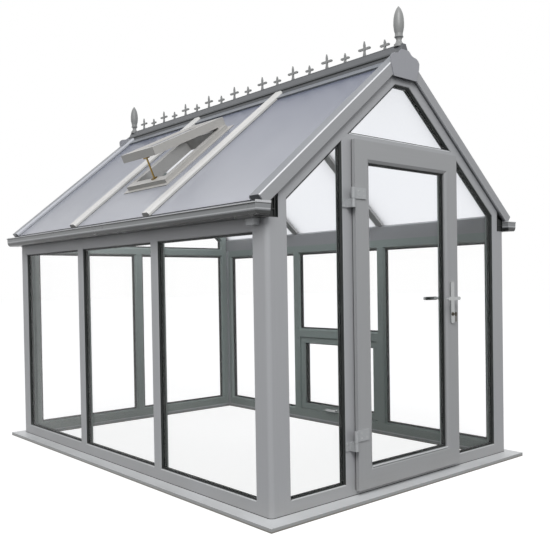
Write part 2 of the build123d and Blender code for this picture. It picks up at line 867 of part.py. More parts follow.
# ------------------------------------------------------------ ridge
cap_foot_height = pane_top_apex + ridge_cap_foot
cap_heights = (
    cap_foot_height,
    cap_foot_height + ridge_cap_edge,
    cap_foot_height + ridge_cap_edge + ridge_cap_shoulder,
    cap_foot_height + ridge_cap_edge + ridge_cap_shoulder + ridge_cap_top,
)
ridge_cap_outline = [
    (-ridge_half, cap_heights[0]),
    (ridge_half, cap_heights[0]),
    (ridge_half, cap_heights[1]),
    (ridge_cap_crown, cap_heights[2]),
    (ridge_cap_crown, cap_heights[3]),
    (-ridge_cap_crown, cap_heights[3]),
    (-ridge_cap_crown, cap_heights[2]),
    (-ridge_half, cap_heights[1]),
]

with BuildPart() as ridge_beam:
    with BuildSketch(Plane.XZ.offset(-verge_y)):
        Polygon(
            (-ridge_half, roof_under(ridge_half)),
            (0, pane_under_apex),
            (ridge_half, roof_under(ridge_half)),
            (ridge_half, cap_foot_height),
            (-ridge_half, cap_foot_height),
            align=None,
        )
    extrude(amount=2 * verge_y)
    beam_bottom = pane_under_apex - ridge_beam_drop
    with BuildSketch(Plane.XZ.offset(-sill_inner_y)):
        Polygon(*rectangle(-ridge_half, ridge_half, beam_bottom, pane_under_apex), align=None)
    extrude(amount=2 * sill_inner_y)
ridge_beam.part.label = "ridge_beam"
export_step(ridge_beam.part, "parts/ridge_beam.step")

with BuildPart() as ridge_cap:
    with BuildSketch(Plane.XZ.offset(-verge_y)):
        Polygon(*ridge_cap_outline, align=None)
    extrude(amount=2 * verge_y)
ridge_cap.part.label = "ridge_cap"
export_step(ridge_cap.part, "parts/ridge_cap.step")

with BuildPart() as ridge_skirts:
    cap_near = bar_places[1] - cap_width / 2
    cap_far = bar_places[1] + cap_width / 2
    outer_skirt = rectangle(cap_far, half_length - verge_cap_inset, -skirt_foot, -skirt_head)
    middle_skirt = rectangle(-cap_near, cap_near, -skirt_foot, -skirt_head)
    for slope_plane in (LEFT_SLOPE, RIGHT_SLOPE):
        for outline in (flipped(outer_skirt), middle_skirt, outer_skirt):
            plate(slope_plane.offset(skirt_thickness), outline, skirt_thickness)
ridge_skirts.part.label = "ridge_skirts"
export_step(ridge_skirts.part, "parts/ridge_skirts.step")


# ------------------------------------------------------------ ridge ornament
def spike(place, arm_height, tip_height, arm_span):
    """A cross-armed spike on the ridge cap: tapered stem, round-ended arms, pointed tip."""
    tip_run = tip_height - arm_height
    foot = Plane.YZ.offset(-spike_thickness / 2)
    with BuildSketch(foot) as outline:
        with Locations((place, cap_heights[3])):
            Polygon(
                (-spike_root / 2, 0),
                (spike_root / 2, 0),
                (spike_stem / 2, arm_height / 2),
                (spike_stem / 2, arm_height + tip_run / 4),
                (spike_arm / 2, arm_height + tip_run / 2),
                (0, tip_height),
                (-spike_arm / 2, arm_height + tip_run / 2),
                (-spike_stem / 2, arm_height + tip_run / 4),
                (-spike_stem / 2, arm_height / 2),
                align=None,
            )
        with Locations((place, cap_heights[3] + arm_height)):
            SlotOverall(arm_span, spike_arm)
    extrude(outline.sketch, amount=spike_thickness, dir=(1, 0, 0))


with BuildPart() as ridge_cresting:
    spike_count = int((length - first_spike - rear_spike_room) / spike_pitch) + 1
    for i in range(spike_count):
        place = -half_length + first_spike + i * spike_pitch
        spike(place, *(tall_spike if i % 2 else short_spike))
ridge_cresting.part.label = "ridge_cresting"
export_step(ridge_cresting.part, "parts/ridge_cresting.step")

finial_y = half_length - finial_inset
finial_base = cap_heights[3] - finial_sink

with BuildPart() as finials:
    with BuildSketch(Plane.XZ.offset(finial_y)):
        with BuildLine(Plane.XY):
            flare = Line((0, finial_base), (29, finial_base))
            rim = Line(flare @ 1, (29, finial_base + 14))
            waist = ThreePointArc(rim @ 1, (19.5, finial_base + 25), (15.5, finial_base + 38))
            collar = ThreePointArc(waist @ 1, (18.5, finial_base + 48), (25.5, finial_base + 55))
            groove = Polyline(
                collar @ 1,
                (25.5, finial_base + 59),
                (22.5, finial_base + 62),
                (22.5, finial_base + 76),
            )
            bud = Spline(
                groove @ 1,
                (29.5, finial_base + 110),
                (29.5, finial_base + 155),
                (20, finial_base + 200),
                (0, finial_base + 232),
            )
            Line(bud @ 1, flare @ 0)
        make_face()
    revolve(axis=Axis((0, -finial_y, 0), (0, 0, 1)))
    with BuildSketch(Plane.XZ):
        Polygon(*ridge_cap_outline, align=None)
    extrude(amount=length, mode=Mode.SUBTRACT)
    mirror(about=Plane.XZ)
finials.part.label = "finials"
export_step(finials.part, "parts/finials.step")

end_plate_bottom = cap_foot_height - end_plate_drop
with BuildPart() as ridge_end_plates:
    with BuildSketch(Plane.XZ.offset(verge_y)):
        with BuildLine(Plane.XY):
            base = Line((0, end_plate_bottom), (98, end_plate_bottom))
            side = Polyline(base @ 1, (122, end_plate_bottom + 68), (126, end_plate_bottom + 103))
            shoulder = ThreePointArc(side @ 1, (112, end_plate_bottom + 121), (87, end_plate_bottom + 131))
            scallop = ThreePointArc(shoulder @ 1, (60, end_plate_bottom + 138), (42, end_plate_bottom + 152))
            top = Polyline(scallop @ 1, (30, end_plate_bottom + 161), (0, end_plate_bottom + 161))
            Line(top @ 1, base @ 0)
        make_face()
        mirror(about=Plane.YZ)
    extrude(amount=end_plate_thickness)
    mirror(about=Plane.XZ)
ridge_end_plates.part.label = "ridge_end_plates"
export_step(ridge_end_plates.part, "parts/ridge_end_plates.step")

# ------------------------------------------------------------ roof vent
kerb_inner = rectangle(
    -kerb_half + kerb_member_side,
    kerb_half - kerb_member_side,
    -kerb_foot + kerb_member_foot,
    -kerb_head - kerb_member_head,
)
kerb_rim = rectangle(
    -kerb_half - kerb_flange,
    kerb_half + kerb_flange,
    -kerb_foot - kerb_flange,
    -kerb_head + kerb_flange,
)
# The open sash's underside, resting on the kerb's top corner and turned up about it
vent_seat_height = kerb_height - (kerb_head - vent_pivot) * tan(radians(vent_open))
VENT_SEAT = Plane(
    origin=LEFT_SLOPE.from_local_coords((0, -vent_pivot, vent_seat_height)),
    x_dir=LEFT_SLOPE.x_dir,
    z_dir=LEFT_SLOPE.z_dir * cos(radians(vent_open)) + LEFT_SLOPE.y_dir * sin(radians(vent_open)),
)
VENT = VENT_SEAT.offset(vent_sash_depth)  # its outer face
vent_half = vent_sash_width / 2
vent_outline = rectangle(-vent_half, vent_half, -vent_sash_length, 0)
vent_light = rectangle(
    -vent_half + vent_sash_face,
    vent_half - vent_sash_face,
    -vent_sash_length + vent_sash_face,
    -vent_sash_face,
)
hinge_block = 40  # each side of the vent's hinge blocks, along the slope
hinge_block_width = 60
hinge_block_place = vent_half - hinge_block_width

with BuildPart() as vent_kerb:
    plate(LEFT_SLOPE.offset(kerb_height), kerb_outline, kerb_height + pane_thickness + kerb_drop)
    plate(LEFT_SLOPE.offset(kerb_flange_thickness), kerb_rim, kerb_flange_thickness)
    # Two wedges carry the sash's hinge edge
    wedge = Plane(
        origin=LEFT_SLOPE.from_local_coords((0, -kerb_head, kerb_height)),
        x_dir=-LEFT_SLOPE.y_dir,
        z_dir=-LEFT_SLOPE.x_dir,
    )
    for side in (-hinge_block_place - hinge_block_width, hinge_block_place):
        with BuildSketch(wedge.offset(side)) as block:
            Polygon(
                (0, 0),
                (hinge_block, 0),
                (hinge_block, hinge_block * tan(radians(vent_open))),
                align=None,
            )
        extrude(block.sketch, amount=hinge_block_width, dir=wedge.z_dir)
    plate(
        LEFT_SLOPE.offset(kerb_height),
        kerb_inner,
        kerb_height + pane_thickness + kerb_drop,
        mode=Mode.SUBTRACT,
    )
vent_kerb.part.label = "vent_kerb"
export_step(vent_kerb.part, "parts/vent_kerb.step")

with BuildPart() as vent_sash:
    plate(VENT, vent_outline, vent_sash_depth)
    plate(VENT, vent_light, vent_sash_depth, mode=Mode.SUBTRACT)
    splay(VENT, vent_light, lip_bevel * 2, lip_bevel * 2)
vent_sash.part.label = "vent_sash"
export_step(vent_sash.part, "parts/vent_sash.step")

with BuildPart() as vent_glazing:
    plate(VENT.offset(-glass_setback), vent_light, vent_glazing_thickness)
vent_glazing.part.label = "vent_glazing"
export_step(vent_glazing.part, "parts/vent_glazing.step")

# A telescopic stay from the kerb's foot member to the sash's foot member
stay_foot = LEFT_SLOPE.from_local_coords((stay_place, -kerb_foot + kerb_member_foot - stay_inset, kerb_height))
stay_head = VENT_SEAT.from_local_coords((stay_place, -vent_sash_length + stay_inset, 0))
stay_line = stay_head - stay_foot

with BuildPart() as vent_opener:
    with BuildSketch(Plane(origin=stay_foot, z_dir=stay_line)) as rod:
        Circle(rod_radius)
    extrude(rod.sketch, amount=stay_line.length, dir=stay_line.normalized())
    with BuildSketch(Plane(origin=stay_foot, x_dir=LEFT_SLOPE.x_dir, z_dir=LEFT_SLOPE.z_dir)) as shoe:
        Rectangle(stay_shoe_length, stay_shoe_width)
    extrude(shoe.sketch, amount=stay_shoe_height, dir=LEFT_SLOPE.z_dir)
    with BuildSketch(Plane(origin=stay_head, x_dir=LEFT_SLOPE.x_dir, z_dir=VENT.z_dir)) as head:
        Rectangle(stay_shoe_length, stay_shoe_width)
    extrude(head.sketch, amount=stay_shoe_height, dir=-VENT.z_dir)
    plate(LEFT_SLOPE.offset(kerb_height), kerb_rim, kerb_height, mode=Mode.SUBTRACT)
    plate(VENT, vent_outline, vent_sash_depth, mode=Mode.SUBTRACT)
vent_opener.part.label = "vent_opener"
export_step(vent_opener.part, "parts/vent_opener.step")

# ------------------------------------------------------------ door leaf
leaf_plane_height = leaf_lift + flange_thickness
DOOR = FRONT.offset(leaf_plane_height)
leaf_depth = flange_thickness + leaf_body_depth
leaf_rim = rectangle(leaf_left, leaf_right, leaf_bottom, leaf_top)
leaf_body = rectangle(body_left, body_right, body_bottom, body_top)
leaf_light = rectangle(
    leaf_left + leaf_face,
    leaf_right - leaf_face,
    leaf_bottom + leaf_face,
    leaf_top - leaf_face,
)
handle_x = leaf_right - handle_backset
lock_bore = lock_radius + lock_clearance


def leaf_members(pair):
    """Two opposite members of the leaf: the flange, the body behind it and both bevels."""
    for outline in mitred(leaf_rim, leaf_light, pair):
        plate(DOOR, outline, flange_thickness)
    for outline in mitred(leaf_body, leaf_light, pair):
        plate(DOOR.offset(-flange_thickness), outline, leaf_body_depth)
    splay(DOOR, leaf_light, leaf_bevel_width, leaf_bevel_depth)
    bead_line = leaf_glass_setback + glass_thickness
    splay(DOOR.offset(-leaf_depth), leaf_light, bead_splay, bead_line - leaf_depth)


with BuildPart() as door_stiles:
    leaf_members(SIDES)
    with BuildSketch(DOOR):
        with Locations((handle_x, spindle_height)):
            Circle(spindle_radius + spindle_room)
        with Locations((handle_x, lock_height)):
            Circle(lock_bore)
    extrude(amount=-leaf_depth, mode=Mode.SUBTRACT)
door_stiles.part.label = "door_stiles"
export_step(door_stiles.part, "parts/door_stiles.step")

with BuildPart() as door_rails:
    leaf_members(BOTTOM_AND_TOP)
door_rails.part.label = "door_rails"
export_step(door_rails.part, "parts/door_rails.step")

with BuildPart() as door_glass:
    plate(DOOR.offset(-leaf_glass_setback), leaf_light, glass_thickness)
door_glass.part.label = "door_glass"
export_step(door_glass.part, "parts/door_glass.step")

# ------------------------------------------------------------ door hinges
hinge_x = leaf_left - hinge_offset
hinge_y = -half_length - hinge_reach
hinge_starts = (lower_hinge, upper_hinge)
leaf_face_y = -half_length - leaf_plane_height

with BuildPart() as door_hinge_flags:
    for start in hinge_starts:
        with BuildSketch(Plane.XY.offset(start)) as flag:
            with Locations((hinge_x, hinge_y)):
                Circle(hinge_barrel_radius)
            Polygon(
                *rectangle(
                    hinge_x,
                    hinge_x + hinge_flag_length,
                    leaf_face_y - hinge_plate_thickness,
                    leaf_face_y,
                ),
                align=None,
            )
            with Locations((hinge_x, hinge_y)):
                Circle(hinge_pin_radius + hinge_pin_clearance, mode=Mode.SUBTRACT)
        extrude(flag.sketch, amount=hinge_flag_height)
door_hinge_flags.part.label = "door_hinge_flags"
export_step(door_hinge_flags.part, "parts/door_hinge_flags.step")

with BuildPart() as door_hinge_pins:
    bracket_right = leaf_left - leaf_lift
    bracket_left = -door_post_edge
    bracket_front = hinge_y + hinge_plate_thickness
    for start in hinge_starts:
        knuckle_top = start - hinge_knuckle_gap
        with BuildSketch(Plane.XY.offset(knuckle_top - hinge_knuckle_height)) as knuckle:
            with Locations((hinge_x, hinge_y)):
                Circle(hinge_barrel_radius)
            Polygon(
                *rectangle(hinge_x - hinge_barrel_radius, bracket_right, bracket_front, -half_length),
                align=None,
            )
            Polygon(
                *rectangle(
                    bracket_left,
                    bracket_right,
                    -half_length - hinge_plate_thickness,
                    -half_length,
                ),
                align=None,
            )
        extrude(knuckle.sketch, amount=hinge_knuckle_height)
        with BuildSketch(Plane.XY.offset(knuckle_top)) as pin:
            with Locations((hinge_x, hinge_y)):
                Circle(hinge_pin_radius)
        extrude(pin.sketch, amount=hinge_knuckle_gap + hinge_flag_height)
door_hinge_pins.part.label = "door_hinge_pins"
export_step(door_hinge_pins.part, "parts/door_hinge_pins.step")

# ------------------------------------------------------------ door handle
handle_middle = handle_plate_bottom + handle_plate_height / 2
plate_bore = lever_neck_radius + lever_clearance

with BuildPart() as door_handle_plates:
    for start in (handle_plate_thickness, -leaf_depth):
        with BuildSketch(DOOR.offset(start)) as handle_plate:
            with Locations((handle_x, handle_middle)):
                RectangleRounded(handle_plate_width, handle_plate_height, handle_plate_width / 3)
            with Locations((handle_x, spindle_height)):
                Circle(plate_bore, mode=Mode.SUBTRACT)
            with Locations((handle_x, lock_height)):
                Circle(lock_bore, mode=Mode.SUBTRACT)
        extrude(handle_plate.sketch, amount=handle_plate_thickness, dir=-DOOR.z_dir)
door_handle_plates.part.label = "door_handle_plates"
export_step(door_handle_plates.part, "parts/door_handle_plates.step")

lock_front = handle_plate_thickness + lock_stand
key_thickness = 2.5
key_shank = 10
key_shank_half = 4  # half the shank's height
key_bow = 13
hanging_drop = 34

with BuildPart() as door_lock:
    with BuildSketch(DOOR.offset(lock_front)):
        with Locations((handle_x, lock_height)):
            Circle(lock_radius)
    extrude(amount=-leaf_depth - 2 * lock_front)
    # A rose on each handle plate
    rose_starts = (
        handle_plate_thickness + lock_rose_thickness,
        -leaf_depth - handle_plate_thickness,
    )
    for start in rose_starts:
        with BuildSketch(DOOR.offset(start)) as rose:
            with Locations((handle_x, lock_height)):
                Circle(lock_rose_radius)
        extrude(rose.sketch, amount=lock_rose_thickness, dir=-DOOR.z_dir)
    # The key in the cylinder, its bow upright, and a second key hanging from it
    KEY = Plane.YZ.offset(handle_x - key_thickness / 2)
    key_y = leaf_face_y - lock_front
    with BuildSketch(KEY) as keys:
        Polygon(
            *rectangle(key_y - key_shank, key_y, lock_height - key_shank_half, lock_height + key_shank_half),
            align=None,
        )
        with Locations((key_y - key_shank - key_bow / 2, lock_height)):
            RectangleRounded(key_bow, key_bow * 2, key_bow / 3)
        with Locations((key_y - key_shank - key_bow / 2, lock_height - key_bow - hanging_drop / 2)):
            RectangleRounded(key_bow / 2, hanging_drop, key_bow / 5)
    extrude(keys.sketch, amount=key_thickness)
door_lock.part.label = "door_lock"
export_step(door_lock.part, "parts/door_lock.step")

with BuildPart() as door_levers:
    with BuildSketch(DOOR.offset(lever_reach)) as spindle:
        with Locations((handle_x, spindle_height)):
            Circle(spindle_radius)
    extrude(spindle.sketch, amount=leaf_depth + 2 * lever_reach, dir=-DOOR.z_dir)
    for start in (lever_reach, -leaf_depth):
        with BuildSketch(DOOR.offset(start)) as neck:
            with Locations((handle_x, spindle_height)):
                Circle(lever_neck_radius)
        extrude(neck.sketch, amount=lever_reach, dir=-DOOR.z_dir)
    for start in (lever_reach, -leaf_depth - lever_reach + lever_thickness):
        with BuildSketch(DOOR.offset(start)) as lever:
            with Locations((handle_x - lever_length / 2 + lever_height / 2, spindle_height)):
                SlotOverall(lever_length, lever_height)
        extrude(lever.sketch, amount=lever_thickness, dir=-DOOR.z_dir)
door_levers.part.label = "door_levers"
export_step(door_levers.part, "parts/door_levers.step")
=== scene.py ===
from math import cos, pi, radians, sin

import bmesh
import bpy
from mathutils import Matrix, Vector


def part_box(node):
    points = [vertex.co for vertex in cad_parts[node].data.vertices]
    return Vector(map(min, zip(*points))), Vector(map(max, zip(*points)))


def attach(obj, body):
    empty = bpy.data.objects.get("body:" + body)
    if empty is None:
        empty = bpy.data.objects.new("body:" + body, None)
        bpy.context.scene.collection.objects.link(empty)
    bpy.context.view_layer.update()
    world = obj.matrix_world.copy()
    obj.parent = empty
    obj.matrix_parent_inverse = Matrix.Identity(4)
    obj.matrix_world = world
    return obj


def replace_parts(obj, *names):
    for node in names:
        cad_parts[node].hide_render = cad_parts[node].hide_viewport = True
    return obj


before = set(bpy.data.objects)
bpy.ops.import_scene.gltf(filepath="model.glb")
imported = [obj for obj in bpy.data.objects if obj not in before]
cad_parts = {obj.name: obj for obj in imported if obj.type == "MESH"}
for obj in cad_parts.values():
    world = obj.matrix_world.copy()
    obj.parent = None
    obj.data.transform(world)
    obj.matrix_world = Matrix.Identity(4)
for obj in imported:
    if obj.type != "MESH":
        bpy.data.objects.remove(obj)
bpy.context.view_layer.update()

# ------------------------------------------------------------------ camera
# The greenhouse is seen from in front of its door gable and a little to the
# left, at chest height and almost level.
eye = Vector((-3.2662, -4.1598, 1.1605))
yaw = radians(41.087)  # from +Y towards +X
pitch = radians(-1.025)
roll = radians(-0.900)
lens_data = bpy.data.cameras.new("camera")
lens_data.sensor_width = 36
lens_data.lens = 47.714
lens_data.shift_x = -0.00836
lens_data.shift_y = 0.0405
camera = bpy.data.objects.new("camera", lens_data)
bpy.context.scene.collection.objects.link(camera)
ahead = Vector((sin(yaw) * cos(pitch), cos(yaw) * cos(pitch), sin(pitch)))
level = Vector((cos(yaw), -sin(yaw), 0))
right = level * cos(roll) + level.cross(ahead) * sin(roll)
camera.matrix_world = Matrix((right, right.cross(ahead), -ahead)).transposed().to_4x4()
camera.matrix_world.translation = eye
bpy.context.scene.camera = camera


# -------------------------------------------------------------------- sill
# A hollow cill of extruded PVC with mitred corners, which the frames are
# screwed down on. A bead of sealant closes the joint under the frames.
mm = 0.001
PLASTIC_IOR = 1.53
STREAK = 1 / (7 * mm)  # die lines 7 mm apart, coarser than real ones so that they show
DRIFT = 1 / (260 * mm)  # slow change of shade along a member
DULLED = (0.93, 0.93, 0.93, 1)  # the darker of two die lines, as a share of the shade
SPLASH = 160 * mm  # rain splash reaches this high
DUST = "#8F8A80"
ALONG = {"x": (0.02, 1, 1), "y": (1, 0.02, 1), "z": (1, 1, 0.02)}  # draws a pattern out


def linear(code):
    """An sRGB hex colour as linear red, green, blue and an alpha of 1."""
    parts = [int(code[i : i + 2], 16) / 255 for i in (1, 3, 5)]
    return (*(c / 12.92 if c <= 0.04045 else ((c + 0.055) / 1.055) ** 2.4 for c in parts), 1)


def add(tree, kind, inputs=(), **settings):
    """A node with its settings. An input takes a value, or another node's output."""
    made = tree.nodes.new(kind)
    for name, value in settings.items():
        setattr(made, name, value)
    for key, value in dict(inputs).items():
        if isinstance(value, bpy.types.NodeSocket):
            tree.links.new(value, made.inputs[key])
        else:
            made.inputs[key].default_value = value
    return made


def blank(name):
    """A material with an empty node tree."""
    made = bpy.data.materials.new(name)
    made.use_nodes = True
    made.node_tree.nodes.clear()
    return made, made.node_tree


def paint(material, *names):
    """Give whole CAD nodes a material."""
    for name in names:
        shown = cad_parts[name]
        shown.data.materials.clear()
        shown.data.materials.append(material)


def banded(tree, place, axis, steps):
    """A colour that steps at distances from the middle along one axis (0, 1 or 2)."""
    here = add(tree, "ShaderNodeSeparateXYZ", {0: place}).outputs[axis]
    distance = add(tree, "ShaderNodeMath", {0: here}, operation="ABSOLUTE").outputs[0]
    first, last = steps[0][0], steps[-1][0] + 10 * mm  # the last shade runs on past its end
    share = add(tree, "ShaderNodeMapRange", {0: distance, 1: first, 2: last}).outputs[0]
    ramp = add(tree, "ShaderNodeValToRGB", {0: share})
    ramp.color_ramp.interpolation = "CONSTANT"
    stops = ramp.color_ramp.elements
    stops.remove(stops[1])
    stops[0].color = linear(steps[0][1])
    for start, code in steps[1:]:
        stops.new((start - first) / (last - first)).color = linear(code)
    return ramp.outputs[0]


def extruded(name, shade, along, roughness=0.38):
    """Extruded PVC in a shade, or in shades as (axis, steps), with die lines along an axis."""
    made, tree = blank(name)
    place = add(tree, "ShaderNodeTexCoord").outputs["Object"]
    clean = linear(shade) if isinstance(shade, str) else banded(tree, place, *shade)
    dulled = add(
        tree,
        "ShaderNodeMix",
        {0: 1.0, 6: clean, 7: DULLED},
        data_type="RGBA",
        blend_type="MULTIPLY",
    )
    run = add(tree, "ShaderNodeMapping", {"Vector": place, "Scale": ALONG[along]}).outputs[0]
    streak = add(tree, "ShaderNodeTexNoise", {"Vector": run, "Scale": STREAK, "Detail": 2})
    drift = add(tree, "ShaderNodeTexNoise", {"Vector": place, "Scale": DRIFT, "Detail": 3})
    colour = add(
        tree,
        "ShaderNodeMix",
        {0: streak.outputs[0], 6: dulled.outputs[2], 7: clean},
        data_type="RGBA",
    )
    height = add(tree, "ShaderNodeSeparateXYZ", {0: place}).outputs[2]
    low = add(tree, "ShaderNodeMapRange", {0: height, 1: 0.0, 2: SPLASH, 3: 0.45, 4: 0.0})
    film = add(
        tree, "ShaderNodeMath", {0: low.outputs[0], 1: drift.outputs[0]}, operation="MULTIPLY"
    )
    dusted = add(
        tree,
        "ShaderNodeMix",
        {0: film.outputs[0], 6: colour.outputs[2], 7: linear(DUST)},
        data_type="RGBA",
    )
    sheen = add(
        tree,
        "ShaderNodeMapRange",
        {0: drift.outputs[0], 1: 0.3, 2: 0.7, 3: roughness - 0.05, 4: roughness + 0.07},
    )
    relief = add(
        tree, "ShaderNodeBump", {"Height": streak.outputs[0], "Strength": 0.06, "Distance": 0.4 * mm}
    )
    skin = add(
        tree,
        "ShaderNodeBsdfPrincipled",
        {
            "Base Color": dusted.outputs[2],
            "Roughness": sheen.outputs[0],
            "Normal": relief.outputs[0],
            "IOR": PLASTIC_IOR,
        },
    )
    add(tree, "ShaderNodeOutputMaterial", {0: skin.outputs[0]})
    return made


# Cill PVC has a satin skin, faintly streaked along its length. Its pale top is a
# painted highlight from the light above, and it is darker and browner at the foot of its nose.
NOSE_FOOT = 7 * mm
NOSE_TOP = 20.5 * mm
cill_bands = (2, [(0.0, "#77746C"), (NOSE_FOOT, "#A4A6A7"), (NOSE_TOP, "#D8DADC")])
paint(extruded("cill_pvc_across", cill_bands, "x"), "sill_ends")
paint(extruded("cill_pvc_along", cill_bands, "y"), "sill_sides")


def sealing_rubber(name):
    """Moulded rubber or sealant: matt black, with a grey bloom in patches."""
    made, tree = blank(name)
    place = add(tree, "ShaderNodeTexCoord").outputs["Object"]
    bloom = add(tree, "ShaderNodeTexNoise", {"Vector": place, "Scale": 1 / (35 * mm), "Detail": 4})
    colour = add(
        tree,
        "ShaderNodeMix",
        {0: bloom.outputs[0], 6: linear("#161818"), 7: linear("#2B2E2D")},
        data_type="RGBA",
    )
    skin = add(
        tree,
        "ShaderNodeBsdfPrincipled",
        {"Base Color": colour.outputs[2], "Roughness": 0.62, "IOR": 1.5},
    )
    add(tree, "ShaderNodeOutputMaterial", {0: skin.outputs[0]})
    return made


# Rubber and sealant are soft black, so that each joint reads as a dark line. The same
# black is also painted shadow under the verges and the ridge cap, and painted shade in the beams'
# ends.
black_rubber_and_shade = sealing_rubber("epdm_rubber_and_painted_shade")


def riding(name, mesh, body):
    """A mesh as an object of its own, riding on a body."""
    made = bpy.data.objects.new(name, mesh)
    bpy.context.scene.collection.objects.link(made)
    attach(made, body)
    return made


def grown(name, source, tree, sizes, body):
    """The mesh that a tree of geometry nodes grows on a source mesh, with its named sizes set."""
    seed = bpy.data.objects.new(name + "_seed", source)
    bpy.context.scene.collection.objects.link(seed)
    growth = seed.modifiers.new("growth", "NODES")
    growth.node_group = tree
    for item in tree.interface.items_tree:
        if item.name in sizes:
            growth[item.identifier] = sizes[item.name]
    seen = seed.evaluated_get(bpy.context.evaluated_depsgraph_get())
    mesh = bpy.data.meshes.new_from_object(seen)
    seed.modifiers.remove(growth)
    bpy.data.objects.remove(seed)
    mesh.name = name
    return riding(name, mesh, body)


def tree_of(name, material, sizes, grow):
    """Geometry nodes with named sizes, ending in realized instances and a material."""
    tree = bpy.data.node_groups.new(name, "GeometryNodeTree")
    tree.interface.new_socket("Geometry", in_out="INPUT", socket_type="NodeSocketGeometry")
    for size in sizes:
        tree.interface.new_socket(size, in_out="INPUT", socket_type="NodeSocketFloat")
    tree.interface.new_socket("Geometry", in_out="OUTPUT", socket_type="NodeSocketGeometry")
    start = add(tree, "NodeGroupInput")
    real = add(tree, "GeometryNodeRealizeInstances", {0: grow(tree, start)})
    covered = add(tree, "GeometryNodeSetMaterial", {0: real.outputs[0], "Material": material})
    add(tree, "NodeGroupOutput", {0: covered.outputs[0]})
    return tree


def cord(tree, start):
    """A strip of rectangular section, run along every line of the source."""
    path = add(tree, "GeometryNodeMeshToCurve", {0: start.outputs[0]})
    section = add(
        tree,
        "GeometryNodeCurvePrimitiveQuadrilateral",
        {0: start.outputs["Width"], 1: start.outputs["Height"]},
    )
    swept = add(
        tree,
        "GeometryNodeCurveToMesh",
        {0: path.outputs[0], 1: section.outputs[0], "Fill Caps": True},
    )
    return swept.outputs[0]


strip_tree = tree_of("black_strip", black_rubber_and_shade, ("Width", "Height"), cord)


def lines(name, paths, closed=False):
    """A mesh of bare lines through points."""
    points, joints = [], []
    for path in paths:
        first = len(points)
        points += path
        joints += [(i, i + 1) for i in range(first, len(points) - 1)]
        if closed:
            joints.append((len(points) - 1, first))
    mesh = bpy.data.meshes.new(name)
    mesh.from_pydata([tuple(p) for p in points], joints, [])
    return mesh


def strips(name, paths, width, height, body, closed=False):
    """Black strips along lines: rubber and sealant, and painted shadow where noted."""
    sizes = {"Width": width, "Height": height}
    return grown(name, lines(name, paths, closed), strip_tree, sizes, body)


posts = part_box("corner_posts")
WALL_X, WALL_Y = posts[1].x, posts[1].y  # the outer faces of the walls and the gables
CILL_TOP = posts[0].z
POST_BEND = 25 * mm  # radius of the posts' outer corner
BEND_STEPS = 6
around = []
for quarter, (side_x, side_y) in enumerate(((1, 1), (-1, 1), (-1, -1), (1, -1))):
    for step in range(BEND_STEPS + 1):
        turn = (quarter + step / BEND_STEPS) * pi / 2
        around.append(
            (
                side_x * (WALL_X - POST_BEND) + POST_BEND * cos(turn),
                side_y * (WALL_Y - POST_BEND) + POST_BEND * sin(turn),
                CILL_TOP,
            )
        )
strips("cill_sealant", [around], 3 * mm, 5 * mm, "house", True)

# ------------------------------------------------------------- wall frames
# Four glazed frames of PVC profile, welded at the corners, stand on the cill
# and are joined through round corner posts. Hollow eaves beams lie on the
# long ones.
FRAME_GREY = "#AAABAD"
INDOOR_GREY = "#9CA8A3"  # painted shade and a green tint: inner faces and beads, out of the daylight
REVEAL_BLACK = "#1E2322"  # the rebate around each pane, in the shade of its gasket
PANE_BACK = 38 * mm  # from a frame's outer face to the inner face of its glass
LIP = 6.5 * mm  # depth of a frame's outer lip


def frame_bands(axis, face):
    """Painted shade through a frame's depth: darker indoor face, black rebate, then the outer lip.
    """
    steps = [(0.0, INDOOR_GREY), (face - PANE_BACK, REVEAL_BLACK), (face - LIP, FRAME_GREY)]
    return axis, steps


# Frame PVC is a light satin grey, streaked along each member, so that uprights
# and rails catch the light a little differently.
wall_bands = frame_bands(0, WALL_X)
gable_bands = frame_bands(1, WALL_Y)
paint(extruded("frame_pvc_upright", FRAME_GREY, "z"), "corner_posts")
paint(
    extruded("frame_pvc_wall_upright", wall_bands, "z"),
    "left_wall_uprights",
    "right_wall_uprights",
)
paint(
    extruded("frame_pvc_gable_upright", gable_bands, "z"),
    "rear_gable_uprights",
    "front_gable_uprights",
)
along_pvc = extruded("frame_pvc_along", wall_bands, "y")
paint(along_pvc, "left_wall_rails", "right_wall_rails")
paint(
    extruded("frame_pvc_across", gable_bands, "x"),
    "rear_gable_rails",
    "front_gable_rails",
    "rear_gable_rafters",
    "front_gable_rafters",
)

# The beams' PVC is the frames', and dark inside their open ends, where no
# light gets in.
beam_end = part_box("eaves_beams")[1].y
POCKET_DEPTH = 34 * mm
RIM = 0.5 * mm
beam_shades = [
    (0.0, FRAME_GREY),
    (beam_end - POCKET_DEPTH, "#161918"),
    (beam_end - RIM, "#8F9192"),
]
paint(extruded("eaves_beam_pvc", (1, beam_shades), "y"), "eaves_beams")

# ----------------------------------------------------------- glazing units
# Sealed double glazing: two 4 mm sheets of float glass on a dark spacer bar,
# held by rubber gaskets pressed in from both faces. A pale strip along each
# pane's foot is a painted highlight on the bevel below it.
SHEET = 4 * mm
UNIT = 24 * mm
EDGE_ROOM = 0.5 * mm
TOUCH = 0.1 * mm  # keeps faces that meet from lying in one plane
SPACER_FACE = 9 * mm
GASKET_FACE = 6 * mm
GASKET_SHOULDER = 0.45  # of its face, where the gasket starts to fall away
GASKET_ROOT = 3.5 * mm  # stands this far off the glass beside the frame
GASKET_LIP = 1.2 * mm


def outlines(name, normal):
    """The corners, in order, of each flat face of a CAD node that faces one way."""
    copy = bmesh.new()
    copy.from_mesh(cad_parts[name].data)
    bmesh.ops.remove_doubles(copy, verts=copy.verts, dist=0.01 * mm)
    bmesh.ops.dissolve_limit(copy, angle_limit=radians(1), verts=copy.verts, edges=copy.edges)
    found = [[v.co.copy() for v in f.verts] for f in copy.faces if f.normal.dot(normal) > 0.999]
    copy.free()
    return found


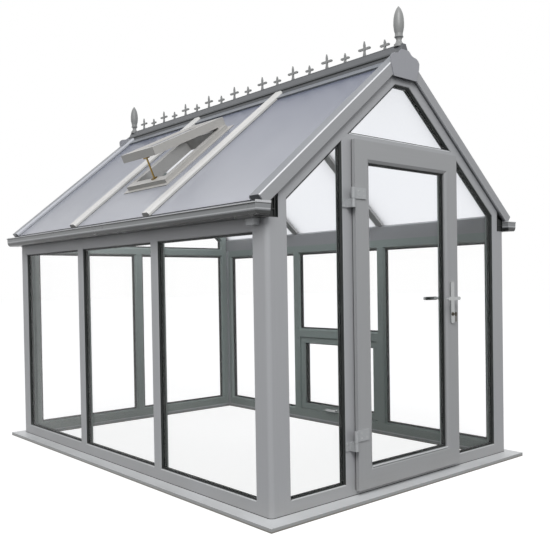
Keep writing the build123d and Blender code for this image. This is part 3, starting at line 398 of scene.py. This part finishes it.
def inset(corners, normal, amount):
    """An outline drawn in by an amount, with sharp corners."""
    drawn = []
    for i, here in enumerate(corners):
        arrive = normal.cross(here - corners[i - 1]).normalized()
        leave = normal.cross(corners[(i + 1) % len(corners)] - here).normalized()
        drawn.append(here + (arrive + leave) * (amount / (1 + arrive.dot(leave))))
    return drawn


def skin_between(shape, loops, closed):
    """Quads from each loop of points to the next, and back to the first if closed."""
    rings = [[shape.verts.new(p) for p in loop] for loop in loops]
    after = rings[1:] + rings[:1] if closed else rings[1:]
    for one, two in zip(rings, after):
        for i in range(len(one)):
            j = (i + 1) % len(one)
            shape.faces.new((one[i], one[j], two[j], two[i]))
    return rings


def slab(shape, corners, normal, near, far):
    """A flat plate between two depths along the normal."""
    rings = skin_between(shape, [[c + normal * d for c in corners] for d in (near, far)], False)
    shape.faces.new(rings[0])
    shape.faces.new(rings[1])


def collar(shape, corners, normal, section):
    """A frame whose section is (inset, height) points, run round an outline."""
    loops = [[p + normal * up for p in inset(corners, normal, side)] for side, up in section]
    skin_between(shape, loops, True)


def piece(shape, name, material, body):
    """A finished mesh, riding on a body."""
    bmesh.ops.recalc_face_normals(shape, faces=shape.faces)
    mesh = bpy.data.meshes.new(name)
    shape.to_mesh(mesh)
    shape.free()
    mesh.materials.append(material)
    return riding(name, mesh, body)


ROLLER_WAVE = 1 / (180 * mm)  # slow waves that the rollers leave in a toughened sheet


def let_through(tree, shader, tint):
    """A shader that lamps and scattered light pass straight through, tinted."""
    passing = add(tree, "ShaderNodeBsdfTransparent", {0: linear(tint)})
    path = add(tree, "ShaderNodeLightPath")
    passes = add(
        tree,
        "ShaderNodeMath",
        {0: path.outputs["Is Shadow Ray"], 1: path.outputs["Is Diffuse Ray"]},
        operation="MAXIMUM",
    )
    mixed = add(
        tree, "ShaderNodeMixShader", {0: passes.outputs[0], 1: shader, 2: passing.outputs[0]}
    )
    return mixed.outputs[0]


def float_glass(name):
    """Clear float glass. Lamps and scattered light pass it unbent, a little dimmed and green."""
    made, tree = blank(name)
    place = add(tree, "ShaderNodeTexCoord").outputs["Object"]
    roller = add(tree, "ShaderNodeTexNoise", {"Vector": place, "Scale": ROLLER_WAVE, "Detail": 1})
    relief = add(
        tree, "ShaderNodeBump", {"Height": roller.outputs[0], "Strength": 0.03, "Distance": 0.3 * mm}
    )
    sheet = add(
        tree,
        "ShaderNodeBsdfPrincipled",
        {
            "Base Color": linear("#FFFFFF"),
            "Roughness": 0.0,
            "IOR": 1.12,  # low, so that four faces in a row mirror no more than coated glass
            "Specular IOR Level": 0.25,
            "Transmission Weight": 1.0,
            "Normal": relief.outputs[0],
        },
    )
    add(tree, "ShaderNodeOutputMaterial", {0: let_through(tree, sheet.outputs[0], "#B4BEBA")})
    return made


# Float glass is all but colourless face on, with a soft mirror on its slow waves.
clear_glass = float_glass("float_glass")


def glaze(name, normal, body):
    """Two sheets, spacer bars and gaskets in place of a CAD node of solid panes."""
    sheets, bars, seals = bmesh.new(), bmesh.new(), bmesh.new()
    for corners in outlines(name, normal):
        edge = inset(corners, normal, EDGE_ROOM)
        slab(sheets, edge, normal, 0, -SHEET)
        slab(sheets, edge, normal, SHEET - UNIT, -UNIT)
        outer, inner = -SHEET - TOUCH, SHEET - UNIT + TOUCH
        spacer = [(0, outer), (SPACER_FACE, outer), (SPACER_FACE, inner), (0, inner)]
        collar(bars, edge, normal, spacer)
        for face, way in ((0, 1), (-UNIT, -1)):
            gasket = [
                (TOUCH, face + way * TOUCH),
                (TOUCH, face + way * GASKET_ROOT),
                (GASKET_FACE * GASKET_SHOULDER, face + way * GASKET_ROOT),
                (GASKET_FACE, face + way * GASKET_LIP),
                (GASKET_FACE, face + way * TOUCH),
            ]
            collar(seals, corners, normal, gasket)
    stem = name.replace("_glass", "")
    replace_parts(piece(sheets, stem + "_glass_sheets", clear_glass, body), name)
    piece(bars, stem + "_spacer_bars", black_rubber_and_shade, body)
    piece(seals, stem + "_gaskets", black_rubber_and_shade, body)


# A painted highlight: a strip of PVC glossier and paler than the frame's, which shows as a thin
# bright line on the bevel under each pane.
highlight_strip_pvc = extruded("highlight_strip_pvc", "#D4D6D7", "z", 0.3)
highlight_strip_tree = tree_of("painted_highlight_strip", highlight_strip_pvc, ("Width", "Height"), cord)
HIGHLIGHT_STRIP = 7 * mm
HIGHLIGHT_DROP = 2.8 * mm  # from the foot of a pane down to the strip's middle


def foot_highlights(name, normal, reach, body):
    """A pale strip along the foot of each pane of a CAD node, this far in front of it: a painted
    highlight on the bevel.
    """
    feet = []
    for corners in outlines(name, normal):
        foot = min(c.z for c in corners)
        ends = [c for c in corners if c.z < foot + 1 * mm]
        feet.append([tuple(end + normal * reach - Vector((0, 0, HIGHLIGHT_DROP))) for end in ends])
    highlight_lines = name.replace("_glass", "_foot_highlights")
    grown(highlight_lines, lines(highlight_lines, feet), highlight_strip_tree, {"Width": HIGHLIGHT_STRIP, "Height": HIGHLIGHT_STRIP}, body)


LEFTWARD, RIGHTWARD = Vector((-1, 0, 0)), Vector((1, 0, 0))
DOORWARD, REARWARD = Vector((0, -1, 0)), Vector((0, 1, 0))
FRAME_HIGHLIGHT_REACH = 10.3 * mm
LEAF_HIGHLIGHT_REACH = 18.3 * mm
for node, normal, reach, body in (
    ("left_wall_glass", LEFTWARD, FRAME_HIGHLIGHT_REACH, "house"),
    ("right_wall_glass", RIGHTWARD, FRAME_HIGHLIGHT_REACH, "house"),
    ("rear_gable_glass", REARWARD, FRAME_HIGHLIGHT_REACH, "house"),
    ("front_gable_glass", DOORWARD, FRAME_HIGHLIGHT_REACH, "house"),
    ("door_glass", DOORWARD, LEAF_HIGHLIGHT_REACH, "door"),
):
    foot_highlights(node, normal, reach, body)
    glaze(node, normal, body)
glaze("window_glass", RIGHTWARD, "house")

# ------------------------------------------------------------- side window
# A small top-hung sash of the same welded profile in the right wall, with a
# cast handle on its inner face.
paint(along_pvc, "window_sash")
PEEL_DARK = 0.88  # the darker patches of a coat, as a share of its shade


def coated(name, shade, metallic, roughness, grit):
    """A cast or pressed metal part, coated or satin finished, with a fine orange peel."""
    made, tree = blank(name)
    place = add(tree, "ShaderNodeTexCoord").outputs["Object"]
    peel = add(tree, "ShaderNodeTexNoise", {"Vector": place, "Scale": 1 / grit, "Detail": 2})
    light = linear(shade)
    dark = (*(c * PEEL_DARK for c in light[:3]), 1)
    colour = add(tree, "ShaderNodeMix", {0: peel.outputs[0], 6: dark, 7: light}, data_type="RGBA")
    worn = add(
        tree,
        "ShaderNodeMapRange",
        {0: peel.outputs[0], 1: 0.3, 2: 0.7, 3: roughness - 0.06, 4: roughness + 0.08},
    )
    relief = add(
        tree, "ShaderNodeBump", {"Height": peel.outputs[0], "Strength": 0.1, "Distance": 0.2 * mm}
    )
    skin = add(
        tree,
        "ShaderNodeBsdfPrincipled",
        {
            "Base Color": colour.outputs[2],
            "Metallic": metallic,
            "Roughness": worn.outputs[0],
            "Normal": relief.outputs[0],
        },
    )
    add(tree, "ShaderNodeOutputMaterial", {0: skin.outputs[0]})
    return made


# Satin anodised aluminium gives broad soft highlights. Its grain is drawn 3 mm coarse.
satin_metal = coated("satin_aluminium", "#B4B6B6", 0.85, 0.3, 3 * mm)
paint(satin_metal, "window_handle")

# ----------------------------------------------------------------- gutters
# Extruded PVC rainwater gutters, clipped along the eaves and capped at both
# ends. A moulded outlet with a short spigot is fitted at one end of each.
GUTTER_SHADES = [
    (1400 * mm, "#B4B6B7"),  # spigots
    (1480 * mm, "#242626"),  # underside, in the gutter's own shade
    # the lower face, painted darker where it turns down from the light
    (1508 * mm, "#76787A"),
    (1514 * mm, "#B4B6B7"),  # a painted highlight along a moulded line on the front
    (1520 * mm, "#8A8C8D"),
    (1540 * mm, "#4A4C4C"),  # painted shadow under the rolled lip
    # the top of the rolled lip, a painted highlight
    (1545 * mm, "#CCCDCE"),
]
# Gutter PVC is glossier than the frames'. Its bands along the moulded front are painted
# light and shade: a dark underside, a highlight line, a shadow under the rolled lip and a pale lip
# top.
gutter_pvc = extruded("gutter_pvc", (2, GUTTER_SHADES), "y", 0.3)
paint(gutter_pvc, "left_gutter", "right_gutter", "gutter_outlets")

# -------------------------------------------------------------------- roof
# Capped PVC glazing bars carry 25 mm opal polycarbonate sheets, whose flutes
# run down the slope. Black wipe gaskets close the caps and the feet of the sheets.
# Black strips under the verges are painted shadow, and black plugs in the hollow
# ends of the eaves beams are painted shade.

# Bar PVC is a pale warm grey and smooth, so the caps read as light stripes.
bar_pvc = extruded("glazing_bar_pvc", "#D6D5D2", "x", 0.34)
paint(bar_pvc, "left_glazing_bars", "right_glazing_bars")

# Verge PVC is in steps: a grey top, with painted highlights as a pale inner edge and a bright rolled
# outer edge.
verge_face = -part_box("front_verge_bars")[0].y
VERGE_SHADES = [
    (verge_face - 90 * mm, "#C4C6CC"),
    (verge_face - 78 * mm, "#808388"),
    (verge_face - 9 * mm, "#D6D7D9"),
    (verge_face - 0.5 * mm, "#9FA0A2"),
]
verge_pvc = extruded("verge_pvc", (1, VERGE_SHADES), "x", 0.36)
paint(verge_pvc, "front_verge_bars", "rear_verge_bars")

FLUTE = 20 * mm
EAVES_HEIGHT = 1560 * mm  # the painted shade starts to turn the sheet darker and bluer here
RIDGE_HEIGHT = 2440 * mm
SCATTERED_THROUGH = 0.3  # share of the sheet's look that is daylight glowing through


def opal(name, foot_shade, head_shade):
    """Opal multiwall sheet: milky, scattering daylight through, with painted shade that darkens and
    blues it up the slope.
    """
    made, tree = blank(name)
    place = add(tree, "ShaderNodeTexCoord").outputs["Object"]
    walls = add(
        tree,
        "ShaderNodeTexWave",
        {"Vector": place, "Scale": 2 * pi / (20 * FLUTE), "Distortion": 0.0},
        wave_type="BANDS",
        bands_direction="Y",
    )
    cloud = add(tree, "ShaderNodeTexNoise", {"Vector": place, "Scale": 1 / (420 * mm), "Detail": 2})
    height = add(tree, "ShaderNodeSeparateXYZ", {0: place}).outputs[2]
    up = add(
        tree,
        "ShaderNodeMapRange",
        {0: height, 1: EAVES_HEIGHT, 2: RIDGE_HEIGHT, 3: 0.0, 4: 0.9},
    )
    flutes = add(tree, "ShaderNodeMath", {0: walls.outputs[1], 1: 0.05}, operation="MULTIPLY")
    clouds = add(
        tree,
        "ShaderNodeMath",
        {0: cloud.outputs[0], 1: 0.25, 2: up.outputs[0]},
        operation="MULTIPLY_ADD",
    )
    total = add(
        tree, "ShaderNodeMath", {0: clouds.outputs[0], 1: flutes.outputs[0]}, operation="SUBTRACT"
    )
    colour = add(
        tree,
        "ShaderNodeMix",
        {0: total.outputs[0], 6: linear(foot_shade), 7: linear(head_shade)},
        data_type="RGBA",
    )
    relief = add(
        tree, "ShaderNodeBump", {"Height": walls.outputs[1], "Strength": 0.05, "Distance": 0.5 * mm}
    )
    face = add(
        tree,
        "ShaderNodeBsdfPrincipled",
        {
            "Base Color": colour.outputs[2],
            "Roughness": 0.28,
            "IOR": 1.58,
            "Normal": relief.outputs[0],
        },
    )
    glow = add(tree, "ShaderNodeBsdfTranslucent", {0: linear("#F4F5F8")})
    milky = add(
        tree, "ShaderNodeMixShader", {0: SCATTERED_THROUGH, 1: face.outputs[0], 2: glow.outputs[0]}
    )
    add(tree, "ShaderNodeOutputMaterial", {0: let_through(tree, milky.outputs[0], "#F6F7F9")})
    return made


def inner_skin(name):
    """The inner wall of the multiwall sheet, glowing white with the daylight behind it."""
    made, tree = blank(name)
    glow = add(tree, "ShaderNodeBsdfTranslucent", {0: linear("#FFFFFF")})
    add(tree, "ShaderNodeOutputMaterial", {0: let_through(tree, glow.outputs[0], "#FFFFFF")})
    return made


# The outer skin is milky and smooth, and its flutes show as faint stripes. Its painted
# shade runs from pale at the eaves to a dark blue-grey at the ridge.
roof_sheet = opal("opal_polycarbonate", "#BEBFC6", "#5C627C")
paint(roof_sheet, "left_roof_panes", "right_roof_panes", "vent_glazing")

# The inner skin is the same sheet from below, an even white glow.
PITCH = radians(39.65)
SKIN = 0.4 * mm
under_skins = bmesh.new()
for node, side in (("left_roof_panes", -1), ("right_roof_panes", 1)):
    inward = Vector((-side * sin(PITCH), 0, -cos(PITCH)))
    for corners in outlines(node, inward):
        slab(under_skins, corners, inward, TOUCH, SKIN)
sheet_glow = inner_skin("polycarbonate_inner_skin")
piece(under_skins, "inner_skins", sheet_glow, "house")

# The gaskets run beside every cap and along the sheets' feet. The black strips
# under the verges are painted shadow.
ridge_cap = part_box("ridge_cap")
APEX = ridge_cap[0].z - 5 * mm  # where the sheets' top faces would meet
SHEET_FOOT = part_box("right_roof_panes")[1].x / cos(PITCH)  # down the slope
CAP_HEAD = 66 * mm  # down the slope, where the gaskets start under the skirts
CAP_HALF = 36.5 * mm
BAR_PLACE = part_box("left_glazing_bars")[1].y - CAP_HALF  # of each bar from the middle
VERGE_INNER = -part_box("front_verge_bars")[1].y


def on_slope(side, down, along, up=0.0):
    """A point on a slope's top face: -1 is the vent's side, 1 the other."""
    return (
        side * (down * cos(PITCH) + up * sin(PITCH)),
        along,
        APEX - down * sin(PITCH) + up * cos(PITCH),
    )


cap_edges = [-VERGE_INNER]
for place in (-BAR_PLACE, BAR_PLACE):
    cap_edges += [place - CAP_HALF, place + CAP_HALF]
cap_edges.append(VERGE_INNER)
cap_lines, foot_lines, verge_shadow_lines = [], [], []
VERGE_DROP = 34 * mm  # of the verge's lower edge under the sheets' top
VERGE_FOOT = 1320 * mm
for side in (-1, 1):
    for edge in cap_edges:
        cap_lines.append([on_slope(side, down, edge) for down in (CAP_HEAD, SHEET_FOOT)])
    for bay in zip(cap_edges[::2], cap_edges[1::2]):
        foot_lines.append([on_slope(side, SHEET_FOOT, edge) for edge in bay])
    for gable in (-WALL_Y, WALL_Y):
        verge_shadow_lines.append(
            [on_slope(side, down, gable, -VERGE_DROP) for down in (CAP_HEAD, VERGE_FOOT)]
        )
strips("cap_gaskets", cap_lines, 4 * mm, 4 * mm, "house")
strips("sheet_foot_seals", foot_lines, 3 * mm, 3 * mm, "house")
# Painted shadow along the lower edge of each verge.
strips("verge_shadow_strips", verge_shadow_lines, 4 * mm, 5 * mm, "house")

# Black plugs a little way inside the mouths of the beams are painted shade in their hollows.
PLUG_DEPTH = 8 * mm
PLUG_PLACE = WALL_Y - 12 * mm
PLUG_SECTION = [  # across and up, inside a beam's pocket
    (968 * mm, 1490 * mm),
    (1016 * mm, 1490 * mm),
    (1016 * mm, 1558 * mm),
    (968 * mm, 1572 * mm),
]
beam_shade_plugs = bmesh.new()
for side_x in (-1, 1):
    for side_y in (-1, 1):
        corners = [Vector((side_x * x, side_y * PLUG_PLACE, z)) for x, z in PLUG_SECTION]
        slab(beam_shade_plugs, corners, Vector((0, side_y, 0)), 0, -PLUG_DEPTH)
piece(beam_shade_plugs, "beam_end_shade_plugs", black_rubber_and_shade, "house")

# ------------------------------------------------------------------- ridge
# A hollow ridge cap clips over the beam, with skirts that wipe down on to the
# sheets. The cresting and the turned finials are moulded PVC, glued on top.

# Ridge PVC is darker and duller than the bars'. The skirts' darker blue-grey is painted
# shade under the cap and a painted reflection of the sky.
paint(extruded("ridge_pvc", "#5C5E61", "y", 0.36), "ridge_beam", "ridge_cap")
paint(extruded("end_plate_pvc", "#9B9CA1", "z", 0.36), "ridge_end_plates")
paint(extruded("skirt_pvc", "#7E8288", "y", 0.4), "ridge_skirts")

# Moulded PVC is a little rougher than extruded, so its thin spikes stay even grey.
moulded_pvc = extruded("moulded_cresting", "#8E8F8E", "z", 0.42)
paint(moulded_pvc, "ridge_cresting", "finials")

# A black strip along each side of the joint between the cap and the beam is painted shadow under the
# cap's edge.
RIDGE_GAP_END = WALL_Y - 5 * mm
ridge_shadow_lines = [
    [(side_x, side_y, ridge_cap[0].z) for side_y in (-RIDGE_GAP_END, RIDGE_GAP_END)]
    for side_x in (ridge_cap[0].x, ridge_cap[1].x)
]
strips("ridge_shadow_strips", ridge_shadow_lines, 8 * mm, 6 * mm, "house")

# -------------------------------------------------------------------- vent
# A kerb folded over the roof sheet and a framed sash with its own sheet, both
# of PVC profile, with a brass screw stay that holds the sash ajar.

# Vent PVC has yellowed a little, so that it looks creamy beside the bars.
vent_pvc = extruded("vent_frame_pvc", "#B4B2AE", "x", 0.4)
paint(vent_pvc, "vent_kerb", "vent_sash")

# Old brass is a dull yellow metal, with darker tarnish in patches.
brass = coated("old_brass", "#8A7340", 1.0, 0.35, 4 * mm)
paint(brass, "vent_opener")

# -------------------------------------------------------------------- door
# One leaf of deep PVC profile, welded at its corners and hung on two barrel
# hinges. It closes on a rubber weather seal behind its flange.

# Leaf PVC is a shade darker than the frame's, which sets the door off in its gable.
LEAF_GREY = "#A1A2A3"
LEAF_LIP = 4 * mm  # behind the glass's outer face, where the rebate's painted shade begins
leaf_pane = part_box("door_glass")
leaf_shades = [
    (0.0, INDOOR_GREY),
    (-leaf_pane[1].y, REVEAL_BLACK),
    (-leaf_pane[0].y - LEAF_LIP, LEAF_GREY),
]
paint(extruded("leaf_pvc_upright", (1, leaf_shades), "z"), "door_stiles")
paint(extruded("leaf_pvc_across", (1, leaf_shades), "x"), "door_rails")

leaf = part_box("door_stiles")
SEAL_INSET = 12 * mm
SEAL_STAND = 2.9 * mm  # in front of the gable's face
seal_left, seal_right = leaf[0].x + SEAL_INSET, leaf[1].x - SEAL_INSET
seal_foot, seal_head = leaf[0].z + SEAL_INSET, leaf[1].z - SEAL_INSET
seal_y = -WALL_Y - SEAL_STAND
seal_ring = [
    (seal_left, seal_y, seal_foot),
    (seal_right, seal_y, seal_foot),
    (seal_right, seal_y, seal_head),
    (seal_left, seal_y, seal_head),
]
strips("leaf_weather_seal", [seal_ring], 4 * mm, 4 * mm, "door", True)

# ----------------------------------------------------------- door hardware
# Die-cast hinges, handles screwed through the leaf on both faces, and a lock
# barrel with its keys. Flat domed screws hold the hinges and the plates.

# Powder coat is an even grey with a fine orange peel.
hinge_coat = coated("powder_coated_hinge", "#AFB1B2", 0.0, 0.36, 2 * mm)
paint(hinge_coat, "door_hinge_flags", "door_hinge_pins")
paint(satin_metal, "door_handle_plates", "door_levers")

# Nickel plate mirrors more sharply than the handles, and is browner.
lock_metal = coated("nickel_lock", "#6E6A62", 1.0, 0.3, 3 * mm)
paint(lock_metal, "door_lock")


def domed_heads(tree, start):
    """A round head, domed towards the front and the back, on every point of the source."""
    ball = add(tree, "GeometryNodeMeshUVSphere", {"Segments": 16, "Rings": 8, "Radius": 1.0})
    radius = start.outputs["Radius"]
    flat = add(tree, "ShaderNodeCombineXYZ", {0: radius, 1: start.outputs["Rise"], 2: radius})
    heads = add(
        tree,
        "GeometryNodeInstanceOnPoints",
        {"Points": start.outputs[0], "Instance": ball.outputs[0], "Scale": flat.outputs[0]},
    )
    return heads.outputs[0]


screw_tree = tree_of("screw_heads", satin_metal, ("Radius", "Rise"), domed_heads)
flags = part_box("door_hinge_flags")
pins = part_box("door_hinge_pins")
FLAG_HEIGHT = 58 * mm
FLAG_PLATE = 6 * mm
flag_feet = (flags[0].z, flags[1].z - FLAG_HEIGHT)
flag_screws = [
    [(flags[1].x - along, leaf[0].y - FLAG_PLATE, foot + up)]
    for foot in flag_feet
    for along in (58 * mm, 18 * mm)
    for up in (16 * mm, 42 * mm)
]
bracket_screws = [
    [(pins[0].x + 11.5 * mm, -WALL_Y - FLAG_PLATE, foot - down)]
    for foot in flag_feet
    for down in (13 * mm, 36 * mm)
]
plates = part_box("door_handle_plates")
PLATE_SCREW_INSET = 14 * mm
plate_middle = (plates[0].x + plates[1].x) / 2
plate_screws = [
    [(plate_middle, face, height)]
    for face in (plates[0].y, plates[1].y)
    for height in (plates[0].z + PLATE_SCREW_INSET, plates[1].z - PLATE_SCREW_INSET)
]
head_sizes = {"Radius": 4.5 * mm, "Rise": 2 * mm}
door_screws = lines("door_screws", flag_screws + plate_screws)
grown("door_screws", door_screws, screw_tree, head_sizes, "door")
house_screws = lines("house_screws", bracket_screws)
grown("house_screws", house_screws, screw_tree, head_sizes, "house")

# ------------------------------------------------------------------- stage
# A plain white floor and sky that the house stands against, lit by one broad
# soft lamp in front of the door gable, to its left.
def seen_rays(tree):
    """1 on rays that the eye follows, straight, mirrored or through glass, and 0 on others."""
    path = add(tree, "ShaderNodeLightPath")
    direct = add(
        tree,
        "ShaderNodeMath",
        {0: path.outputs["Is Camera Ray"], 1: path.outputs["Is Glossy Ray"]},
        operation="MAXIMUM",
    )
    seen = add(
        tree,
        "ShaderNodeMath",
        {0: direct.outputs[0], 1: path.outputs["Is Transmission Ray"]},
        operation="MAXIMUM",
    )
    return seen.outputs[0]


# The floor is white to the eye and still takes the house's shadow, while it throws
# little light back up.
studio_white, tree = blank("studio_floor")
dull = add(tree, "ShaderNodeBsdfDiffuse", {0: linear("#5E5E5E")})
shadowed = add(tree, "ShaderNodeBsdfDiffuse", {0: linear("#8A8A8A")})
white = add(tree, "ShaderNodeEmission", {0: linear("#FFFFFF"), 1: 0.86})
both = add(tree, "ShaderNodeAddShader", {0: shadowed.outputs[0], 1: white.outputs[0]})
mixed = add(
    tree, "ShaderNodeMixShader", {0: seen_rays(tree), 1: dull.outputs[0], 2: both.outputs[0]}
)
add(tree, "ShaderNodeOutputMaterial", {0: mixed.outputs[0]})
ground = bmesh.new()
bmesh.ops.create_grid(ground, x_segments=1, y_segments=1, size=60)
bmesh.ops.translate(ground, verts=ground.verts, vec=(0, 0, -0.5 * mm))
floor_mesh = bpy.data.meshes.new("floor")
ground.to_mesh(floor_mesh)
ground.free()
floor_mesh.materials.append(studio_white)
floor = bpy.data.objects.new("floor", floor_mesh)
bpy.context.scene.collection.objects.link(floor)

world = bpy.data.worlds.new("studio")
world.use_nodes = True
world.node_tree.nodes.clear()
tree = world.node_tree
daylight = add(tree, "ShaderNodeBackground", {0: linear("#F4F6FA"), 1: 0.66})
white_sky = add(tree, "ShaderNodeBackground", {0: linear("#FFFFFF"), 1: 1.0})
mixed = add(
    tree,
    "ShaderNodeMixShader",
    {0: seen_rays(tree), 1: daylight.outputs[0], 2: white_sky.outputs[0]},
)
add(tree, "ShaderNodeOutputWorld", {0: mixed.outputs[0]})
bpy.context.scene.world = world

lamp_data = bpy.data.lights.new("softbox", "AREA")
lamp_data.shape = "SQUARE"
lamp_data.size = 5
lamp_data.energy = 720
lamp = bpy.data.objects.new("softbox", lamp_data)
bpy.context.scene.collection.objects.link(lamp)
lamp.location = (-5.5, -6.5, 8)
lamp.rotation_euler = (Vector((0, 0, 1)) - lamp.location).to_track_quat("-Z", "Y").to_euler()

bpy.context.scene.view_settings.view_transform = "Standard"
